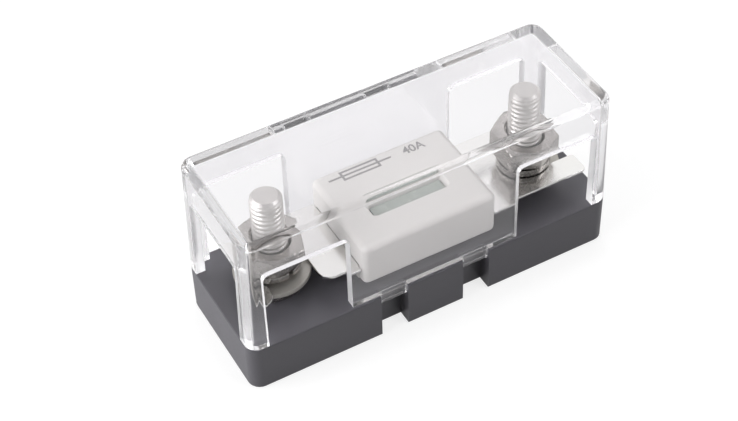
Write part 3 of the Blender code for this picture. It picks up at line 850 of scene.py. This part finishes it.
def mark_matt_edges(mesh):
    """Mark how matt the faces are: the openings' upright rims, their tops, and the cover's top edge."""
    marks = mesh.attributes.new(MATT_EDGE, "FLOAT", "FACE")
    lowest_top = BASE_HIGH.z + OPENING_TOPS_FROM
    highest_top = BASE_HIGH.z + (COVER_HIGH.z - BASE_HIGH.z) * OPENING_TOPS_TO_SHARE
    for face, mark in zip(mesh.polygons, marks.data):
        middle, normal = face.center, face.normal
        in_end = min(COVER_HIGH.x - middle.x, middle.x - COVER_LOW.x) < WALL_REACH
        in_side = min(COVER_HIGH.y - middle.y, middle.y - COVER_LOW.y) < WALL_REACH
        side_rim = in_side and not in_end and abs(normal.x) > FACING
        end_rim = in_end and not in_side and abs(normal.y) > FACING
        if normal.z < -FACING and lowest_top < middle.z < highest_top:
            mark.value = MATT_OPENING_TOP
        elif side_rim or end_rim:
            mark.value = MATT_RIM
        elif middle.z > COVER_HIGH.z - WALL_REACH and SLANTED[0] < abs(normal.z) < SLANTED[1]:
            mark.value = MATT_TOP_EDGE


class MakeCover(bpy.types.Operator):
    """Finish the clear cover"""

    bl_idname = "fuse_holder.cover"
    bl_label = "Cover"

    def execute(self, context):
        piece = rounded_piece("clear_shell", "cover", cover_material(), sizes().edge_round)
        mark_matt_edges(piece.data)
        settle(piece, "clear_cover", "clear_plastic", "cover")
        return {"FINISHED"}


# Stage

CAMERA_PLACE = (-0.14541, -0.25852, 0.32078)
CAMERA_AZIMUTH = -27.897
CAMERA_ELEVATION = 45.371
CAMERA_ROLL = -2.019
CAMERA_LENS = 84.55
CAMERA_SENSOR = 36.0
CAMERA_REACH = (0.01, 10.0)
PASSES_IN_GLASS = 32
ONE_BOUNCE = 0.5
WALL_DIRECTION = (0.30, 0.75, 0.59)
WALL_FROM_TO = (0.0, 0.8)
ROOM_LEVEL = 0.18
WALL_LEVEL = 1.2
SKY_LIGHT = 0.45
FLOOR_COLOUR = (0.30, 0.30, 0.30, 1.0)
FLOOR_REACH = 2.0
FLOOR_DROP = 0.0001

# How bright the sky and the floor's glow look to the camera, through glass and in a reflection

SKY_SEEN = (1.0, 0.9, 0.9)
FLOOR_SEEN = (0.78, 0.66, 0.42)

# Lamps: name, place, width and height, power, and whether the lamp itself shows through the cover

LAMPS = (
    ("key", (-0.55, 0.05, 0.20), (0.5, 0.4), 4.1, True),
    ("fill", (0.30, -0.32, 0.28), (0.3, 0.2), 0.95, True),
    ("top", (0.15, 0.27, 0.70), (0.2, 0.2), 0.6, False),
)
LAMP_TARGET = Vector((0.0, 0.0, 0.02))


def seen_share(tree, direct, through, mirrored):
    """How bright the surroundings look to the camera, through glass and in a mirror, or 0 once gathered."""
    path = new_node(tree, "ShaderNodeLightPath")
    bounced = new_node(tree, "ShaderNodeMath", "has been mirrored", operation="GREATER_THAN")
    bounced.inputs[1].default_value = ONE_BOUNCE
    gathered = new_node(tree, "ShaderNodeMath", "not gathered", operation="LESS_THAN")
    gathered.inputs[1].default_value = ONE_BOUNCE
    indirect = new_node(tree, "ShaderNodeMapRange", "glass or mirror")
    set_inputs(indirect, {"To Min": through, "To Max": mirrored})
    share = new_node(tree, "ShaderNodeMix", "camera or not", data_type="FLOAT")
    set_inputs(share, {"B": direct})
    kept = new_node(tree, "ShaderNodeMath", "none once gathered", operation="MULTIPLY")
    tree.links.new(path.outputs["Glossy Depth"], bounced.inputs[0])
    tree.links.new(path.outputs["Diffuse Depth"], gathered.inputs[0])
    tree.links.new(bounced.outputs[0], indirect.inputs["Value"])
    tree.links.new(path.outputs["Is Camera Ray"], share.inputs["Factor"])
    tree.links.new(indirect.outputs["Result"], share.inputs["A"])
    tree.links.new(share.outputs["Result"], kept.inputs[0])
    tree.links.new(gathered.outputs[0], kept.inputs[1])
    return kept.outputs[0]


def make_room(scene):
    """The world: a dim room with a bright soft wall behind the object. Matt surfaces gather less of it."""
    world = bpy.data.worlds.new("studio")
    scene.world = world
    world.use_nodes = True
    tree = world.node_tree
    sky = tree.nodes["Background"]
    direction = new_node(tree, "ShaderNodeTexCoord")
    aim = new_node(tree, "ShaderNodeVectorMath", "towards the soft wall behind", operation="DOT_PRODUCT")
    aim.inputs[1].default_value = WALL_DIRECTION
    wall = new_node(tree, "ShaderNodeMapRange", "dark room to soft wall", interpolation_type="SMOOTHSTEP")
    set_inputs(wall, {"From Min": WALL_FROM_TO[0], "From Max": WALL_FROM_TO[1],
                      "To Min": ROOM_LEVEL, "To Max": WALL_LEVEL})
    tree.links.new(direction.outputs["Generated"], aim.inputs[0])
    tree.links.new(aim.outputs["Value"], wall.inputs["Value"])
    tree.links.new(wall.outputs["Result"], sky.inputs["Color"])
    strength = new_node(tree, "ShaderNodeMath", "background strength", operation="MAXIMUM")
    strength.inputs[1].default_value = SKY_LIGHT
    tree.links.new(seen_share(tree, *SKY_SEEN), strength.inputs[0])
    tree.links.new(strength.outputs[0], sky.inputs["Strength"])


def make_floor():
    """A floor just under the base. Its glow makes it white, and it keeps the object's shadow."""
    made, tree, shader = new_material("pale_floor")
    set_inputs(shader, {"Base Color": FLOOR_COLOUR, "Roughness": 0.9, "Specular IOR Level": 0.0,
                        "Emission Color": (1.0, 1.0, 1.0, 1.0)})
    tree.links.new(seen_share(tree, *FLOOR_SEEN), shader.inputs["Emission Strength"])
    bm = bmesh.new()
    bmesh.ops.create_grid(bm, x_segments=1, y_segments=1, size=FLOOR_REACH)
    floor = add_piece("floor", placed_mesh("floor", bm, (0.0, 0.0, BASE_LOW.z - FLOOR_DROP)), made)


def add_lamp(name, place, size, power, shows):
    """A soft lamp that faces the object. Nothing mirrors it, and the cover shows it only if asked to."""
    lamp = bpy.data.lights.new(name, "AREA")
    lamp.shape = "RECTANGLE"
    lamp.size, lamp.size_y = size
    lamp.energy = power
    stand = bpy.data.objects.new(name, lamp)
    bpy.context.scene.collection.objects.link(stand)
    stand.visible_glossy = False
    stand.visible_transmission = shows
    stand.location = place
    aim = LAMP_TARGET - Vector(place)
    stand.rotation_mode = "QUATERNION"
    stand.rotation_quaternion = aim.to_track_quat("-Z", "Y")


def make_camera(scene):
    """The camera, at the place and turn that were fitted to the photograph."""
    azimuth, elevation, roll = (math.radians(v) for v in (CAMERA_AZIMUTH, CAMERA_ELEVATION, CAMERA_ROLL))
    back = Vector((math.sin(azimuth) * math.cos(elevation), -math.cos(azimuth) * math.cos(elevation),
                   math.sin(elevation)))
    level = Vector((math.cos(azimuth), math.sin(azimuth), 0.0))
    upright = back.cross(level)
    right = math.cos(roll) * level + math.sin(roll) * upright
    up = -math.sin(roll) * level + math.cos(roll) * upright
    lens = bpy.data.cameras.new("camera")
    lens.lens = CAMERA_LENS
    lens.sensor_width = CAMERA_SENSOR
    lens.clip_start, lens.clip_end = CAMERA_REACH
    camera = bpy.data.objects.new("camera", lens)
    scene.collection.objects.link(camera)
    turn = Matrix((right, up, back)).transposed()
    camera.matrix_world = Matrix.Translation(CAMERA_PLACE) @ turn.to_4x4()
    scene.camera = camera


class MakeStage(bpy.types.Operator):
    """Set up the background, the floor, the soft lamps and the camera"""

    bl_idname = "fuse_holder.stage"
    bl_label = "Stage"

    def execute(self, context):
        scene = context.scene
        scene.view_settings.view_transform = "Standard"
        scene.cycles.max_bounces = PASSES_IN_GLASS
        scene.cycles.glossy_bounces = PASSES_IN_GLASS
        scene.cycles.transmission_bounces = PASSES_IN_GLASS
        make_room(scene)
        make_floor()
        for lamp in LAMPS:
            add_lamp(*lamp)
        make_camera(scene)
        return {"FINISHED"}


class FUSEHOLDER_PT_panel(bpy.types.Panel):
    """Lists the sizes, the colours and the steps that make the fuse holder"""

    bl_idname = "FUSEHOLDER_PT_panel"
    bl_label = "Fuse holder"
    bl_space_type = "VIEW_3D"
    bl_region_type = "UI"
    bl_category = "Fuse holder"

    def draw(self, context):
        for group in (sizes(), colours()):
            for key in group.__annotations__:
                self.layout.prop(group, key)
        for step in STEPS:
            self.layout.operator(step.bl_idname)


STEPS = (MakeStage, MakeBase, MakePosts, MakeNuts, MakeWashers, MakeStrip, MakeCase, MakePrint, MakeCover)
CLASSES = (FuseHolderSizes, FuseHolderColours) + STEPS + (FUSEHOLDER_PT_panel,)


def register():
    for item in CLASSES:
        bpy.utils.register_class(item)
    bpy.types.Scene.fuse_holder_sizes = PointerProperty(type=FuseHolderSizes)
    bpy.types.Scene.fuse_holder_colours = PointerProperty(type=FuseHolderColours)


def unregister():
    del bpy.types.Scene.fuse_holder_colours
    del bpy.types.Scene.fuse_holder_sizes
    for item in reversed(CLASSES):
        bpy.utils.unregister_class(item)


def main():
    register()
    bpy.ops.fuse_holder.stage()
    bpy.ops.fuse_holder.base()
    bpy.ops.fuse_holder.posts()
    bpy.ops.fuse_holder.nuts()
    bpy.ops.fuse_holder.washers()
    bpy.ops.fuse_holder.strip()
    bpy.ops.fuse_holder.case()
    bpy.ops.fuse_holder.print()
    bpy.ops.fuse_holder.cover()


if __name__ == "__main__":
    main()
